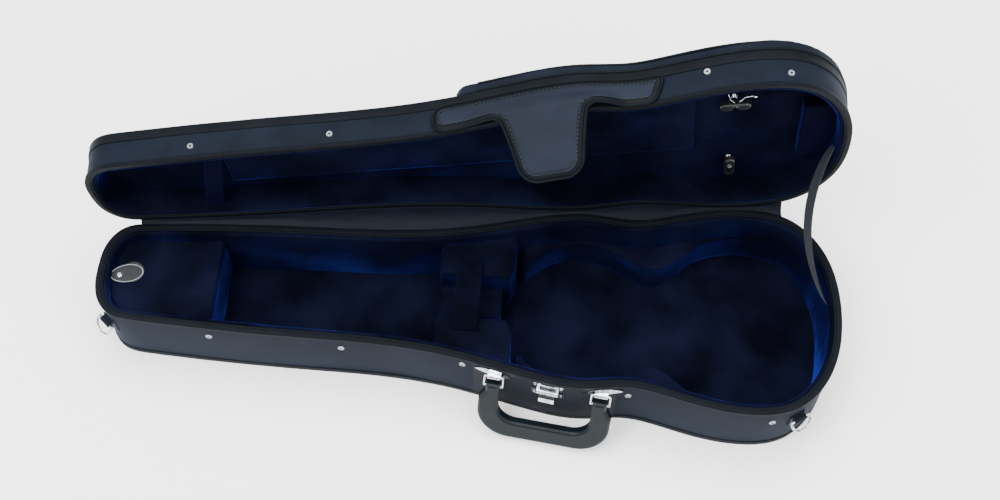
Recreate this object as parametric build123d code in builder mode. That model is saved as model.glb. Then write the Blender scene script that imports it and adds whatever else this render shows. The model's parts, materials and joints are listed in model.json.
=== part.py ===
"""A shaped, padded case for a full-size violin, with its lid standing open at a right angle.

X runs along the hinge line towards the wide end, Y towards the hinge and Z up. The origin is the middle
of the case's long axis, on the underside. That axis, the shared centre line of base and lid, is turned
a few degrees from the hinge line, because the hinge touches both the narrow and the wide end.
In the outline's own coordinates u runs along the long axis and v towards the hinge, so that the front
wall with the handle lies at negative v.
"""
import os
from functools import lru_cache
from math import atan2, cos, degrees, radians, sin

from build123d import *

os.makedirs("parts", exist_ok=True)

# ---- Overall sizes (mm) ----
case_length = 825
narrow_half_width = 60
lower_half_width = 124
base_height = 94
lid_height = 43
open_angle = 90

# ---- Outline: half widths, and how far each station lies back from the wide tip ----
narrow_round = 50
narrow_squareness = 2.5
lower_round = 95
lower_squareness = 2.2
outline_steps = 72
neck_stations = [(596, 68), (469, 73), (403, 83.5), (340, 98.5)]
upper_bout, upper_half_width = 277, 106
waist, waist_half_width = 228, 102
flank, flank_half_width = 186, 110

# ---- Wall build-up, from the rim band inwards ----
cover_recess = 1.5
cover_thickness = 1.2
shell_thickness = 3.5
lining_thickness = 6.8
rim_band_height = 4.5
rim_band_width = 6.2
rim_band_thickness = 2.5
bottom_band_height = 9
bottom_band_recess = 0.4
lid_band_height = 11.5
top_lip_width = 10
rim_gap = 0.6
hinge_clearance = 0.8
fit = 0.4

# ---- Base interior ----
floor_pad = 4
bed_height = 54
bed_start = 60
well_clearance = 4
body_length = 356
body_start = 46
body_stations = [(26, 62), (72, 84), (120, 74), (165, 57), (210, 88), (280, 104), (335, 80)]
neck_block_height = 81
neck_block_start, neck_block_end = -32, 52
neck_gap = 26
strap_centre, strap_width, strap_thickness = 1, 28, 2.2
strap_rise = 7
divider_place, divider_thickness = -284, 6
compartment_height = 80
flap_board = 6
ledge_width = 6

# ---- Front hardware: places along the wall and below the rim ----
handle_left, handle_right = 37.5, 153.5
latch_place = 95.5
panel_left, panel_right = 13, 170.5
plate_length, plate_height, plate_thickness = 46, 14, 1.6
pivot_drop, pivot_reach = 12, 6.0
pivot_wire, pivot_play = 1.3, 0.3
bail_leg, bail_spread = 13, 20
bridge_length = 14
handle_reach = 83
handle_hang = 23
handle_width, handle_arm, handle_top, grip_depth, handle_thickness = 146, 22, 15.6, 24, 13
stud_places = [(-281, 24), (-133.5, 24), (1, 17), (182.5, 27), (338, 28)]
lid_stud_places = [(-284, 16), (-134, 16), (259, 26), (341.5, 15)]
stud_radius, stud_proud = 3.8, 1.1
ring_wire, ring_width, ring_drop = 1.4, 22, 15
ring_places = [("left", -396, 26), ("right", 366, 30)]

# ---- Lid interior and outside ----
spinner_places = [("lower", 290, 66), ("upper", 290, -56)]
spinner_length, spinner_width, spinner_thickness = 33, 11, 6
spinner_post, spinner_post_radius = 9, 3.2
pocket_start, pocket_depth, pocket_skin, pocket_corner = 0, 13, 1.6, 24
zip_length, zip_width = 250, 6
tongue_top, tongue_tip, tongue_length = 88, 60, 82
flap_line = 12
flap_thickness = 3
flap_droop = 28
tongue_proud = 6.8

half_length = case_length / 2
lower_centre = half_length - lower_round
narrow_centre = narrow_round - half_length
tilt = degrees(atan2(lower_half_width - narrow_half_width, lower_centre - narrow_centre))

shell_recess = cover_recess + cover_thickness
lining_recess = shell_recess + shell_thickness
cavity_recess = lining_recess + lining_thickness


def rounded_end(centre, length, width, squareness, steps):
    """Points of a squared-off quarter round, from its tip to its side."""
    points = []
    for step in range(steps + 1):
        turn = radians(90 * step / steps)
        along = max(cos(turn), 0) ** (2 / squareness)
        across = sin(turn) ** (2 / squareness)
        points.append((centre + length * along, -width * across))
    return points


narrow_end = rounded_end(narrow_centre, -narrow_round, narrow_half_width, narrow_squareness, 3)
wide_end = rounded_end(lower_centre, lower_round, lower_half_width, lower_squareness, 4)
sides = neck_stations + [(upper_bout, upper_half_width), (waist, waist_half_width), (flank, flank_half_width)]
front_points = narrow_end + [(half_length - back, -width) for back, width in sides] + wide_end[::-1]
back_points = [(u, -v) for u, v in front_points[-2:0:-1]]

with BuildSketch() as outline:
    with BuildLine():
        Spline(*front_points, *back_points, periodic=True)
    make_face()
outline_edge = outline.sketch.edges()[0]


@lru_cache(maxsize=None)
def outline_at(recess):
    """The case's outline, drawn in by a recess all round."""
    points = []
    for step in range(outline_steps):
        place = step / outline_steps
        tangent = outline_edge.tangent_at(place)
        points.append(outline_edge.position_at(place) + Vector(tangent.Y, -tangent.X) * -recess)
    return Face(Wire(Edge.make_spline(points, periodic=True)))


# ---- Planes of the base and of the open lid ----
base_plane = Plane(origin=(0, 0, 0), x_dir=(cos(radians(tilt)), -sin(radians(tilt)), 0), z_dir=(0, 0, 1))
hinge_y = (base_plane * outline.sketch).bounding_box().max.Y + hinge_clearance
hinge_z = base_height + rim_gap / 2
print(f"hinge axis at y = {hinge_y:.3f}, z = {hinge_z:.3f}; tilt {tilt:.3f} degrees")


def opened(y, z):
    """A direction in the closed lid, turned about the hinge as the lid opens."""
    turn = radians(open_angle)
    return y * cos(turn) + z * sin(turn), -y * sin(turn) + z * cos(turn)


lid_shift = opened(-hinge_y, rim_gap / 2)
lid_along = opened(base_plane.x_dir.Y, 0)
lid_plane = Plane(
    origin=(0, hinge_y + lid_shift[0], hinge_z + lid_shift[1]),
    x_dir=(base_plane.x_dir.X, *lid_along),
    z_dir=(0, *opened(0, 1)),
)


def front_station(u):
    """The outline's front point at a place along the case, and its direction there."""
    low, high = 0.0, 0.5
    for _ in range(40):
        middle = (low + high) / 2
        if outline_edge.position_at(middle).X < u:
            low = middle
        else:
            high = middle
    return outline_edge.position_at(low), outline_edge.tangent_at(low)


def wall_plane(case_plane, u, height, recess=0.0):
    """A plane on the front wall: x along the wall, y up and z straight out of the wall."""
    point, along = front_station(u)
    outward = Vector(along.Y, -along.X)
    local = point - outward * recess
    x_dir = case_plane.x_dir * along.X + case_plane.y_dir * along.Y
    z_dir = case_plane.x_dir * outward.X + case_plane.y_dir * outward.Y
    return Plane(case_plane.from_local_coords(Vector(local.X, local.Y, height)), x_dir=x_dir, z_dir=z_dir)


def ring(case_plane, outer, inner, low, high, mode=Mode.ADD):
    """A band of wall between two recesses and two heights."""
    with BuildSketch(case_plane.offset(low)) as band:
        add(outline_at(outer))
        add(outline_at(inner), mode=Mode.SUBTRACT)
    extrude(band.sketch, amount=high - low, mode=mode)


def slab(case_plane, recess, low, high, mode=Mode.ADD):
    """A full plate of the outline between two heights."""
    with BuildSketch(case_plane.offset(low)) as plate:
        add(outline_at(recess))
    extrude(plate.sketch, amount=high - low, mode=mode)


def keep_between(case_plane, u_low, u_high, v_low, v_high, low, high):
    """Keep only what lies inside a box of the case's own coordinates."""
    with BuildSketch(case_plane.offset(low)) as window:
        with Locations(((u_low + u_high) / 2, (v_low + v_high) / 2)):
            Rectangle(u_high - u_low, v_high - v_low)
    extrude(window.sketch, amount=high - low, mode=Mode.INTERSECT)


def save(block, name):
    """Label a finished piece and write it under its own name."""
    block.part.label = name
    export_step(block.part, f"parts/{name}.step")


full_width = 2 * lower_half_width
floor_top = cover_thickness + shell_thickness
pad_top = floor_top + floor_pad
band_bottom = base_height - rim_band_height
lining_top = base_height - rim_band_thickness

# ---- Base: underside, shell, canvas, bindings and padded lining ----
with BuildPart() as base_underside:
    slab(base_plane, shell_recess, 0, cover_thickness)
save(base_underside, "base_underside")

with BuildPart() as base_bottom_binding:
    ring(base_plane, bottom_band_recess, shell_recess, 0, bottom_band_height)
save(base_bottom_binding, "base_bottom_binding")

with BuildPart() as base_shell:
    slab(base_plane, shell_recess, cover_thickness, floor_top)
    ring(base_plane, shell_recess, lining_recess, floor_top, lining_top)
save(base_shell, "base_shell")

with BuildPart() as base_cover:
    ring(base_plane, cover_recess, shell_recess, bottom_band_height, band_bottom)
save(base_cover, "base_cover")

with BuildPart() as base_rim_binding:
    ring(base_plane, 0, shell_recess, band_bottom, lining_top)
    ring(base_plane, 0, rim_band_width, lining_top, base_height)
save(base_rim_binding, "base_rim_binding")

with BuildPart() as base_lining:
    ring(base_plane, lining_recess, cavity_recess, floor_top, lining_top)
save(base_lining, "base_lining")

with BuildPart() as base_floor_pad:
    slab(base_plane, cavity_recess, floor_top, pad_top)
save(base_floor_pad, "base_floor_pad")

# ---- Violin bed: a foam block with the well for the instrument's body ----
well_points = [(body_start + along, -width - well_clearance) for along, width in body_stations]
well_tips = [(body_start - well_clearance, 0), (body_start + body_length + well_clearance, 0)]
well_back = [(u, -v) for u, v in well_points[::-1]]
with BuildSketch() as well:
    with BuildLine():
        Spline(well_tips[0], *well_points, well_tips[1], *well_back, periodic=True)
    make_face()

with BuildPart() as violin_bed:
    slab(base_plane, cavity_recess, pad_top, bed_height)
    keep_between(base_plane, bed_start, half_length, -full_width, full_width, pad_top, bed_height)
    with BuildSketch(base_plane.offset(pad_top)):
        add(well.sketch)
    extrude(amount=bed_height - pad_top, mode=Mode.SUBTRACT)
save(violin_bed, "violin_bed")

# ---- Neck blocks on both sides of the neck, and the saddle between them ----
for side, name in ((-1, "neck_block_front"), (1, "neck_block_back")):
    block_edges = sorted((side * neck_gap, side * full_width))
    with BuildPart() as neck_block:
        slab(base_plane, cavity_recess, pad_top, neck_block_height)
        keep_between(base_plane, neck_block_start, neck_block_end, *block_edges, pad_top, neck_block_height)
        with BuildSketch(base_plane.offset(pad_top)):
            add(well.sketch)
        extrude(amount=neck_block_height - pad_top, mode=Mode.SUBTRACT)
    save(neck_block, name)

with BuildPart() as neck_saddle:
    with BuildSketch(base_plane.offset(pad_top)):
        with Locations(((neck_block_start + body_start - 2 * well_clearance) / 2, 0)):
            Rectangle(body_start - 2 * well_clearance - neck_block_start, 2 * neck_gap)
    extrude(amount=bed_height - pad_top)
    with BuildSketch(Plane(base_plane.from_local_coords(Vector(neck_block_start, 0, bed_height + 6)),
                           x_dir=base_plane.y_dir, z_dir=base_plane.x_dir)):
        Ellipse(neck_gap - 8, 16)
    extrude(amount=body_start - neck_block_start, mode=Mode.SUBTRACT)
save(neck_saddle, "neck_saddle")

strap_half = neck_gap + 16
strap_plane = Plane(
    base_plane.from_local_coords(Vector(strap_centre - strap_width / 2, 0, neck_block_height + fit)),
    x_dir=base_plane.y_dir, z_dir=base_plane.x_dir,
)
with BuildPart() as neck_strap:
    with BuildSketch(strap_plane):
        with BuildLine():
            low_arc = ThreePointArc((-strap_half, 0), (0, strap_rise), (strap_half, 0))
            high_arc = ThreePointArc((-strap_half, strap_thickness), (0, strap_rise + strap_thickness),
                                     (strap_half, strap_thickness))
            Line(low_arc @ 0, high_arc @ 0)
            Line(low_arc @ 1, high_arc @ 1)
        make_face()
    extrude(amount=strap_width)
save(neck_strap, "neck_strap")

# ---- Accessory compartment at the narrow end ----
ledge_top = compartment_height - flap_board - fit
divider_left = divider_place - divider_thickness / 2
divider_right = divider_place + divider_thickness / 2
with BuildPart() as accessory_divider:
    slab(base_plane, cavity_recess, pad_top, ledge_top)
    keep_between(base_plane, divider_left, divider_right, -full_width, full_width, pad_top, ledge_top)
save(accessory_divider, "accessory_divider")

with BuildPart() as accessory_ledge:
    ring(base_plane, cavity_recess, cavity_recess + ledge_width, pad_top, ledge_top)
    keep_between(base_plane, -half_length, divider_left, -full_width, full_width, pad_top, ledge_top)
save(accessory_ledge, "accessory_ledge")

with BuildPart() as accessory_lid:
    slab(base_plane, cavity_recess + 2 * fit, ledge_top + fit, compartment_height)
    keep_between(base_plane, -half_length, divider_right, -full_width, full_width, ledge_top, compartment_height)
save(accessory_lid, "accessory_lid")

tab_centre = -383
tab_thickness = 1.4
with BuildPart() as accessory_pull_tab:
    with BuildSketch(base_plane.offset(compartment_height)):
        with Locations((tab_centre + 7, 4)):
            Circle(12.5)
        with Locations((tab_centre - 8, -1)):
            Circle(8)
        make_hull()
    extrude(amount=tab_thickness)
save(accessory_pull_tab, "accessory_pull_tab")

with BuildPart() as accessory_tab_rivet:
    with BuildSketch(base_plane.offset(compartment_height + tab_thickness)):
        with Locations((tab_centre - 7, -1)):
            Circle(3.2)
    extrude(amount=1.4)
    fillet(accessory_tab_rivet.faces().sort_by(Axis.Z)[-1].edges(), radius=0.9)
save(accessory_tab_rivet, "accessory_tab_rivet")

# ---- Front reinforcement panel, between the two seams ----
panel_proud = 0.8
panel_recess = cover_recess - panel_proud
with BuildPart() as front_panel:
    ring(base_plane, panel_recess, cover_recess, bottom_band_height, band_bottom)
    keep_between(base_plane, panel_left, panel_right, -full_width, 0, 0, base_height)
save(front_panel, "front_panel")

# ---- Handle: two plates, two wire bails and the moulded grip ----
left_foot, _ = front_station(handle_left)
right_foot, _ = front_station(handle_right)
chord = (right_foot - left_foot).normalized()
chord_out = Vector(chord.Y, -chord.X)
pivot_middle = (left_foot + right_foot) / 2 + chord_out * (pivot_reach - panel_recess)
pivot_half = (right_foot - left_foot).length / 2
pivot_height = base_height - pivot_drop
pivot_along = base_plane.x_dir * chord.X + base_plane.y_dir * chord.Y
pivot_out = base_plane.x_dir * chord_out.X + base_plane.y_dir * chord_out.Y
pivot_origin = base_plane.from_local_coords(Vector(pivot_middle.X, pivot_middle.Y, pivot_height))
hang = radians(handle_hang)
hang_dir = pivot_out * sin(hang) - Vector(0, 0, 1) * cos(hang)
hang_face = pivot_out * cos(hang) + Vector(0, 0, 1) * sin(hang)
handle_plane = Plane(pivot_origin, x_dir=pivot_along, z_dir=hang_face)
print(f"bail pivot {tuple(round(c, 3) for c in pivot_origin)} along {tuple(round(c, 5) for c in pivot_along)}")
grip_pivot = pivot_origin + hang_dir * bail_leg
print(f"grip pivot {tuple(round(c, 3) for c in grip_pivot)}")


def across_pivot(place):
    """A plane square to the handle's pivot line: x straight out from the wall, y up."""
    return Plane(pivot_origin + pivot_along * place, x_dir=pivot_out, z_dir=pivot_out.cross(Vector(0, 0, 1)))


for name, station, place in (("handle_plate_left", handle_left, -pivot_half),
                             ("handle_plate_right", handle_right, pivot_half)):
    with BuildPart() as handle_plate:
        with BuildSketch(wall_plane(base_plane, station, pivot_height, recess=12)):
            with BuildLine():
                tip = plate_length / 2
                upper = ThreePointArc((-tip, 0), (0, plate_height / 2), (tip, 0))
                ThreePointArc(upper @ 0, (0, -plate_height / 2), upper @ 1)
            make_face()
        extrude(amount=24)
        ring(base_plane, panel_recess - plate_thickness, panel_recess, 0, base_height, Mode.INTERSECT)
        bridge_radius = pivot_wire + pivot_play + 1.4
        with BuildSketch(across_pivot(place - bridge_length / 2)):
            Circle(bridge_radius)
            with Locations((-pivot_reach / 2, 0)):
                Rectangle(pivot_reach, 2 * bridge_radius)
        extrude(amount=-bridge_length)
        slab(base_plane, panel_recess, 0, base_height, Mode.SUBTRACT)
        with BuildSketch(across_pivot(place - bridge_length)):
            Circle(pivot_wire + pivot_play / 4)
        extrude(amount=-2 * bridge_length, mode=Mode.SUBTRACT)
    save(handle_plate, name)

for name, place in (("handle_bail_left", -pivot_half), ("handle_bail_right", pivot_half)):
    half = bail_spread / 2
    corners = [(place - half, 0), (place + half, 0), (place + half, -bail_leg), (place - half, -bail_leg)]
    with BuildPart() as handle_bail:
        for (x_a, y_a), (x_b, y_b) in zip(corners, corners[1:] + corners[:1]):
            start = handle_plane.from_local_coords(Vector(x_a, y_a, 0))
            end = handle_plane.from_local_coords(Vector(x_b, y_b, 0))
            with BuildSketch(Plane(start, z_dir=end - start)):
                Circle(pivot_wire)
            extrude(amount=(end - start).length)
            with Locations(start):
                Sphere(pivot_wire)
    save(handle_bail, name)

arm_length = handle_reach - bail_leg
grip_plane = Plane(grip_pivot, x_dir=pivot_along, z_dir=hang_face)
with BuildPart() as handle_grip:
    with BuildSketch(grip_plane.offset(-handle_thickness / 2)) as grip_profile:
        outer = handle_width / 2
        inner = outer - handle_arm
        top = 5.5
        with BuildLine():
            eye_in, eye_out = pivot_half - handle_top / 2, pivot_half + handle_top / 2
            right_side = [(inner, grip_depth - arm_length), (inner, -16), (eye_in, -4), (eye_in, top),
                          (eye_out, top), (eye_out, -4), (outer, -16), (outer, -arm_length)]
            Polyline(*right_side, *[(-x, y) for x, y in right_side[::-1]], close=True)
        make_face()
        fillet([v for v in grip_profile.vertices() if v.Y < 1 - arm_length], radius=36)
        fillet([v for v in grip_profile.vertices() if abs(v.Y - grip_depth + arm_length) < 1 and abs(v.X) < inner + 1],
               radius=0.7 * (arm_length - grip_depth - 16))
    extrude(amount=handle_thickness)
    faces = handle_grip.faces().sort_by(Axis(grip_plane.origin, grip_plane.z_dir))
    fillet(faces[0].edges() + faces[-1].edges(), radius=4)
    for place in (-pivot_half, pivot_half):
        with BuildSketch(Plane(grip_pivot + pivot_along * (place - bail_spread), z_dir=pivot_along)):
            Circle(pivot_wire + pivot_play / 4)
        extrude(amount=2 * bail_spread, mode=Mode.SUBTRACT)
save(handle_grip, "handle_grip")

# ---- Latch: back plate with two ears, sprung lever, pin and rivets ----
latch_width, latch_height, latch_back = 36, 31, 1.5
latch_top = 5
latch_centre = base_height - latch_top - latch_height / 2
latch_face = wall_plane(base_plane, latch_place, latch_centre, recess=panel_recess)
lever_width, lever_height, lever_thickness = 17, 15, 3.2
lever_pin = 1.4
pin_out, pin_up = 4.6, 2.5
ear_width = 11
with BuildPart() as latch_plate:
    with BuildSketch(wall_plane(base_plane, latch_place, latch_centre, recess=12)):
        RectangleRounded(latch_width, latch_height - 6, 4)
        for side in (-1, 1):
            with Locations((side * (latch_width - ear_width) / 2, latch_height / 2 - 6)):
                RectangleRounded(ear_width, 12, 1.5)
    extrude(amount=24)
    ring(base_plane, panel_recess - latch_back, panel_recess, 0, base_height, Mode.INTERSECT)
    for side in (-1, 1):
        cheek = Plane(latch_face.from_local_coords(Vector(side * (lever_width / 2 + fit), pin_up, 0)),
                      x_dir=latch_face.z_dir, z_dir=latch_face.x_dir * side)
        with BuildSketch(cheek):
            with Locations((pin_out, 0)):
                Circle(2.8)
            with Locations((pin_out / 2, 0)):
                Rectangle(pin_out, 5.6)
        extrude(amount=3)
    slab(base_plane, panel_recess, 0, base_height, Mode.SUBTRACT)
    with BuildSketch(Plane(latch_face.from_local_coords(Vector(-latch_width / 2, pin_up, pin_out)),
                           z_dir=latch_face.x_dir)):
        Circle(lever_pin + 0.05)
    extrude(amount=latch_width, mode=Mode.SUBTRACT)
save(latch_plate, "latch_plate")

with BuildPart() as latch_pin:
    with BuildSketch(Plane(latch_face.from_local_coords(Vector(-lever_width / 2 - fit - 3, pin_up, pin_out)),
                           z_dir=latch_face.x_dir)):
        Circle(lever_pin - 0.02)
    extrude(amount=lever_width + 2 * fit + 6)
save(latch_pin, "latch_pin")

lever_side = Plane(latch_face.from_local_coords(Vector(-lever_width / 2, pin_up, pin_out)),
                   x_dir=latch_face.z_dir, z_dir=-latch_face.x_dir)
with BuildPart() as latch_lever:
    with BuildSketch(lever_side):
        Circle(2.7)
        with BuildLine():
            Polyline((-2.2, 0), (1.6, 2), (2.7, 0), (2.9, -lever_height + 3), (4.6, -lever_height - 3),
                     (2.8, -lever_height - 3.6), (0.4, -lever_height + 1), (-1.2, -lever_height + 2), close=True)
        make_face()
        Circle(lever_pin + 0.05, mode=Mode.SUBTRACT)
    extrude(amount=-lever_width)
save(latch_lever, "latch_lever")

with BuildPart() as latch_rivets:
    for side in (-1, 1):
        for up in (-9.5, 11):
            with BuildSketch(latch_face.offset(latch_back)):
                with Locations((side * 14.5, up)):
                    Circle(1.7)
            extrude(amount=0.9)
save(latch_rivets, "latch_rivets")

# ---- Domed studs along the front of base and lid ----
for name, plane, places, rim_height, sign in (("base_studs", base_plane, stud_places, base_height, -1),
                                              ("lid_studs", lid_plane, lid_stud_places, 0, 1)):
    with BuildPart() as studs:
        for place, away in places:
            foot = wall_plane(plane, place, rim_height + sign * away, recess=cover_recess - 0.2)
            with BuildSketch(foot):
                Circle(stud_radius)
            extrude(amount=stud_proud, taper=28)
    save(studs, name)

# ---- D-rings for a shoulder strap, each on its own tab ----
for side, place, drop in ring_places:
    foot = wall_plane(base_plane, place, base_height - drop, recess=cover_recess)
    eye_reach = 5.2
    with BuildPart() as ring_tab:
        with BuildSketch(foot):
            with Locations((0, -8)):
                RectangleRounded(19, 26, 3)
        extrude(amount=-10)
        with BuildSketch(foot):
            with Locations((0, -8)):
                RectangleRounded(19, 26, 3)
        extrude(amount=10)
        ring(base_plane, cover_recess - 1.8, cover_recess, 0, base_height, Mode.INTERSECT)
        with BuildSketch(Plane(foot.from_local_coords(Vector(-7, 0, eye_reach)), x_dir=foot.z_dir,
                               z_dir=foot.x_dir)):
            Circle(ring_wire + 1.7)
            with Locations((-eye_reach / 2, 0)):
                Rectangle(eye_reach, 2 * ring_wire + 3)
        extrude(amount=14)
        slab(base_plane, cover_recess, 0, base_height, Mode.SUBTRACT)
        with BuildSketch(Plane(foot.from_local_coords(Vector(-15, 0, eye_reach)), z_dir=foot.x_dir)):
            Circle(ring_wire + 0.08)
        extrude(amount=30, mode=Mode.SUBTRACT)
    save(ring_tab, f"d_ring_tab_{side}")

    lean = radians(40)
    ring_origin = foot.from_local_coords(Vector(0, 0, eye_reach))
    ring_down = foot.z_dir * sin(lean) - Vector(0, 0, 1) * cos(lean)
    ring_plane = Plane(ring_origin, x_dir=foot.x_dir, z_dir=foot.x_dir.cross(-ring_down))
    print(f"{side} ring pivot {tuple(round(c, 3) for c in ring_origin)} "
          f"along {tuple(round(c, 5) for c in foot.x_dir)}")
    half = ring_width / 2
    with BuildPart() as d_ring:
        with BuildLine(ring_plane):
            arc = ThreePointArc((-half, 0), (0, -ring_drop), (half, 0))
        with BuildSketch(Plane(arc @ 0, z_dir=arc % 0)):
            Circle(ring_wire)
        sweep(path=arc)
        with BuildSketch(Plane(ring_plane.from_local_coords(Vector(-half, 0, 0)), z_dir=foot.x_dir)):
            Circle(ring_wire)
        extrude(amount=ring_width)
        with Locations(ring_plane.from_local_coords(Vector(-half, 0, 0)),
                       ring_plane.from_local_coords(Vector(half, 0, 0))):
            Sphere(ring_wire)
    save(d_ring, f"d_ring_{side}")

# ---- Lid: shell, canvas, bindings and padded lining ----
top_skin_bottom = lid_height - cover_thickness
ceiling_top = top_skin_bottom - shell_thickness
ceiling = ceiling_top - 4
with BuildPart() as lid_shell:
    ring(lid_plane, shell_recess, lining_recess, rim_band_thickness, ceiling_top)
    slab(lid_plane, shell_recess, ceiling_top, top_skin_bottom)
save(lid_shell, "lid_shell")

with BuildPart() as lid_cover:
    ring(lid_plane, cover_recess, shell_recess, rim_band_height, lid_height - lid_band_height)
save(lid_cover, "lid_cover")

with BuildPart() as lid_rim_binding:
    ring(lid_plane, 0, rim_band_width, 0, rim_band_thickness)
    ring(lid_plane, 0, shell_recess, rim_band_thickness, rim_band_height)
save(lid_rim_binding, "lid_rim_binding")

with BuildPart() as lid_top_binding:
    ring(lid_plane, bottom_band_recess, shell_recess, lid_height - lid_band_height, top_skin_bottom)
    ring(lid_plane, bottom_band_recess, top_lip_width, top_skin_bottom, lid_height)
save(lid_top_binding, "lid_top_binding")

with BuildPart() as lid_top_panel:
    slab(lid_plane, top_lip_width, top_skin_bottom, lid_height)
save(lid_top_panel, "lid_top_panel")

with BuildPart() as lid_lining:
    ring(lid_plane, lining_recess, cavity_recess, rim_band_thickness, ceiling)
save(lid_lining, "lid_lining")

with BuildPart() as lid_ceiling_pad:
    slab(lid_plane, lining_recess, ceiling, ceiling_top)
save(lid_ceiling_pad, "lid_ceiling_pad")

# A raised cushion keeps clear of the bow that lies along the hinge side.
cushion_depth, cushion_edge = 9, 30
end_block_start, end_block_depth = 362, 14
with BuildPart() as lid_cushion:
    slab(lid_plane, cavity_recess, ceiling - cushion_depth, ceiling)
    keep_between(lid_plane, -262, 250, -full_width, cushion_edge, ceiling - cushion_depth, ceiling)
save(lid_cushion, "lid_cushion")

with BuildPart() as lid_end_block:
    slab(lid_plane, cavity_recess, ceiling - end_block_depth, ceiling)
    keep_between(lid_plane, end_block_start, half_length, -46, 50, ceiling - end_block_depth, ceiling)
save(lid_end_block, "lid_end_block")

loop_place, loop_width, loop_depth = -275, 20, 10
with BuildPart() as bow_loop:
    slab(lid_plane, cavity_recess, loop_depth, loop_depth + 2)
    keep_between(lid_plane, loop_place - loop_width / 2, loop_place + loop_width / 2,
                 -full_width, full_width, 0, lid_height)
save(bow_loop, "bow_loop")

# ---- Bow spinners: a swivelling bar on a fixed post, held by a screw ----
for name, place, across in spinner_places:
    post_base = lid_plane.from_local_coords(Vector(place, across, ceiling))
    with BuildPart() as spinner_post_piece:
        with BuildSketch(Plane(post_base, x_dir=lid_plane.x_dir, z_dir=-lid_plane.z_dir)):
            Circle(spinner_post_radius + 3)
        extrude(amount=1.5)
        with BuildSketch(Plane(post_base, x_dir=lid_plane.x_dir, z_dir=-lid_plane.z_dir)):
            Circle(spinner_post_radius)
        extrude(amount=spinner_post)
        with BuildSketch(Plane(post_base, x_dir=lid_plane.x_dir, z_dir=-lid_plane.z_dir)):
            Circle(2)
        extrude(amount=spinner_post + spinner_thickness + fit)
    save(spinner_post_piece, f"bow_spinner_post_{name}")

    bar_plane = Plane(post_base - lid_plane.z_dir * (spinner_post + fit / 2),
                      x_dir=lid_plane.x_dir if name == "upper" else lid_plane.y_dir, z_dir=-lid_plane.z_dir)
    print(f"{name} spinner pivot {tuple(round(c, 3) for c in bar_plane.origin)}")
    with BuildPart() as spinner_bar:
        with BuildSketch(bar_plane):
            SlotOverall(spinner_length, spinner_width)
            Circle(2.06, mode=Mode.SUBTRACT)
        extrude(amount=spinner_thickness)
        chamfer(spinner_bar.faces().sort_by(Axis(bar_plane.origin, bar_plane.z_dir))[-1].outer_wire().edges(), 1.2)
    save(spinner_bar, f"bow_spinner_{name}")

    with BuildPart() as spinner_screw:
        with BuildSketch(Plane(bar_plane.origin + bar_plane.z_dir * (spinner_thickness + fit / 2),
                               x_dir=bar_plane.x_dir, z_dir=bar_plane.z_dir)):
            Circle(3.4)
        extrude(amount=1.4)
    save(spinner_screw, f"bow_spinner_screw_{name}")

# ---- Music pocket on the outside of the lid, with its zip ----
pocket_bottom = lid_height
pocket_top = lid_height + pocket_depth
zip_middle = (pocket_start + half_length) / 2
zip_across = -72
corner_foot = -front_station(pocket_start + pocket_corner)[0].Y
corner_head = corner_foot - pocket_corner
corner_bulge = pocket_corner * (1 - sin(radians(45)))
with BuildSketch() as pocket_window:
    with BuildLine():
        Line((pocket_start, corner_head), (pocket_start, -corner_head))
        for side in (-1, 1):
            ThreePointArc((pocket_start, side * corner_head),
                          (pocket_start + corner_bulge, side * (corner_foot - corner_bulge)),
                          (pocket_start + pocket_corner, side * corner_foot))
            Polyline((pocket_start + pocket_corner, side * corner_foot),
                     (pocket_start + 2 * pocket_corner, side * full_width),
                     (case_length, side * full_width))
        Line((case_length, -full_width), (case_length, full_width))
    make_face()

with BuildPart() as music_pocket:
    with BuildSketch(lid_plane.offset(pocket_bottom)):
        add(outline_at(bottom_band_recess))
        add(pocket_window.sketch, mode=Mode.INTERSECT)
    extrude(amount=pocket_depth)
    with BuildSketch(lid_plane.offset(pocket_bottom)):
        add(outline_at(bottom_band_recess + pocket_skin + 3))
        with Locations((pocket_start + pocket_corner / 2 + case_length / 2, 0)):
            Rectangle(case_length, 2 * full_width, mode=Mode.INTERSECT)
    extrude(amount=pocket_depth - pocket_skin, mode=Mode.SUBTRACT)
    with BuildSketch(lid_plane.offset(pocket_bottom + 1)):
        with Locations((zip_middle, zip_across)):
            Rectangle(zip_length, zip_width)
    extrude(amount=pocket_depth, mode=Mode.SUBTRACT)
save(music_pocket, "music_pocket")

with BuildPart() as pocket_zip:
    with BuildSketch(lid_plane.offset(pocket_top - 1.6)):
        with Locations((zip_middle, zip_across)):
            Rectangle(zip_length - 0.6, zip_width - 0.6)
    extrude(amount=1.4)
save(pocket_zip, "pocket_zip")

slider_start = zip_middle + zip_length / 2 - 12
with BuildPart() as zip_slider:
    with BuildSketch(lid_plane.offset(pocket_top + 0.3)):
        with Locations((slider_start, zip_across)):
            SlotOverall(12, 7)
    extrude(amount=2.2)
    with BuildSketch(lid_plane.offset(pocket_top + 2.5)):
        with Locations((slider_start - 10, zip_across)):
            SlotOverall(24, 5)
    extrude(amount=1.2)
save(zip_slider, "zip_slider")

# ---- T-shaped flap: its crossbar is sewn to the lid, its tongue hangs over the latch ----
flap_left, flap_right = -26, 214
bar_low, bar_high = 3.5, 31
flap_recess = cover_recess - flap_thickness - 0.3
with BuildPart() as flap_crossbar:
    ring(lid_plane, flap_recess, -0.3, bar_low, bar_high)
    keep_between(lid_plane, flap_left, flap_right, -full_width, 0, bar_low, bar_high)
save(flap_crossbar, "flap_crossbar")

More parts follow.
